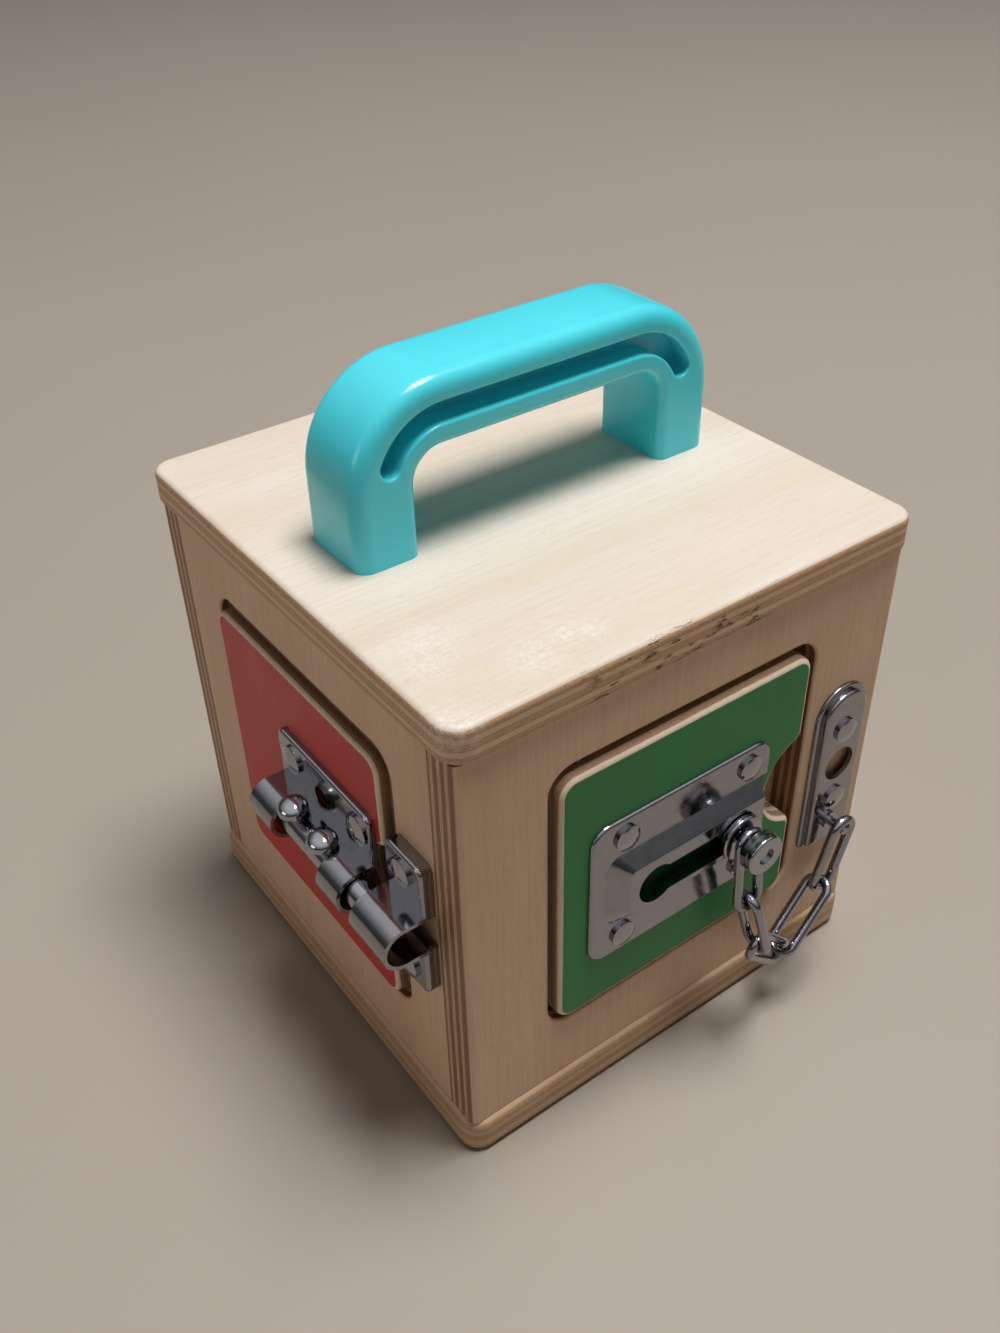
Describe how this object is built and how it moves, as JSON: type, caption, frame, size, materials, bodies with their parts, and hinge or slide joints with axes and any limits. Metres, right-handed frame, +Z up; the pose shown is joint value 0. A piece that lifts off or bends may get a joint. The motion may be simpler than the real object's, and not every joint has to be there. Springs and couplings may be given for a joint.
{
  "type": "wooden latch box",
  "caption": "Square plywood box with a carrying handle and small hinged doors, one held by a door chain and one by a barrel bolt.",
  "frame": {"origin": "centre of the underside", "axes": "+Z up, the door with the chain faces -Y, the door with the bolt faces -X, the handle runs along X"},
  "size_m": [0.1524, 0.1577, 0.187],
  "materials": {
    "ply_base": "smooth sanded plywood",
    "ply_top": "smooth sanded plywood, pale face",
    "ply_walls": "smooth sanded plywood",
    "green_door": "satin paint on the front, bare edges",
    "red_door": "satin paint on the front, bare edges",
    "steel": "plain",
    "turquoise_plastic": "gloss",
    "chrome_sheet": "bright plated",
    "chrome_screws": "bright plated",
    "chrome_turned": "bright plated",
    "chrome_wire": "bright plated"
  },
  "bodies": {
    "box": {"base_plate": "ply_base", "top_plate": "ply_top", "front_panel": "ply_walls", "back_panel": "ply_walls", "left_panel": "ply_walls", "right_panel": "ply_walls", "front_door_pins": "steel", "left_door_pins": "steel", "front_door_stop": "ply_walls", "left_door_stop": "ply_walls", "handle": "turquoise_plastic", "handle_screws": "steel", "anchor_plate": "chrome_sheet", "anchor_screws": "chrome_screws", "anchor_pin": "chrome_turned", "keeper": "chrome_sheet", "keeper_screws": "chrome_screws"},
    "front_door": {"front_door": "green_door", "track_plate": "chrome_sheet", "track_screws": "chrome_screws"},
    "left_door": {"left_door": "red_door", "bolt_plate": "chrome_sheet", "bolt_screws": "chrome_screws"},
    "chain_stud": {"chain_stud": "chrome_turned"},
    "chain_link_5": {"chain_link_5": "chrome_wire"},
    "chain_link_4": {"chain_link_4": "chrome_wire"},
    "chain_link_3": {"chain_link_3": "chrome_wire"},
    "chain_link_2": {"chain_link_2": "chrome_wire"},
    "chain_link_1": {"chain_link_1": "chrome_wire"},
    "bolt_rod": {"bolt_rod": "chrome_turned"}
  },
  "joints": [
    {"name": "front_door_hinge", "type": "hinge", "parent": "box", "child": "front_door", "pos_m": [-0.0342, -0.0669, 0.0755], "axis": [0, 0, -1], "range_deg": [0, 110]},
    {"name": "left_door_hinge", "type": "hinge", "parent": "box", "child": "left_door", "pos_m": [-0.0655, 0.0306, 0.0755], "axis": [0, 0, -1], "range_deg": [0, 110]},
    {"name": "chain_slide", "type": "slide", "parent": "front_door", "child": "chain_stud", "axis": [-1, 0, 0], "range_m": [0, 0.0275]},
    {"name": "chain_link_5_swing", "type": "hinge", "parent": "chain_stud", "child": "chain_link_5", "pos_m": [0.0122, -0.07995, 0.0732], "axis": [0, -1, 0], "range_deg": [0, 23.2]},
    {"name": "chain_link_4_swing", "type": "hinge", "parent": "chain_link_5", "child": "chain_link_4", "pos_m": [0.01189, -0.08151, 0.05542], "axis": [0, -1, 0], "range_deg": [-5.3, 0]},
    {"name": "chain_link_3_swing", "type": "hinge", "parent": "chain_link_4", "child": "chain_link_3", "pos_m": [0.01856, -0.08193, 0.03216], "axis": [0, -1, 0], "range_deg": [-5.4, 0]},
    {"name": "chain_link_2_swing", "type": "hinge", "parent": "chain_link_3", "child": "chain_link_2", "pos_m": [0.03059, -0.07908, 0.0188], "axis": [0, -1, 0], "range_deg": [-19.7, 0]},
    {"name": "chain_link_1_swing", "type": "hinge", "parent": "chain_link_2", "child": "chain_link_1", "pos_m": [0.0485, -0.07697, 0.03493], "axis": [0, -1, 0], "range_deg": [-25.6, 0]},
    {"name": "bolt_slide", "type": "slide", "parent": "left_door", "child": "bolt_rod", "axis": [0, -1, 0], "range_m": [0, 0.0025]}
  ],
  "couplings": [
    {"joint": "chain_link_5_swing", "follows": "chain_slide", "rad_per_m": 14.652},
    {"joint": "chain_link_4_swing", "follows": "chain_slide", "rad_per_m": -3.265},
    {"joint": "chain_link_3_swing", "follows": "chain_slide", "rad_per_m": -3.306},
    {"joint": "chain_link_2_swing", "follows": "chain_slide", "rad_per_m": -12.423},
    {"joint": "chain_link_1_swing", "follows": "chain_slide", "rad_per_m": -16.126}
  ]
}
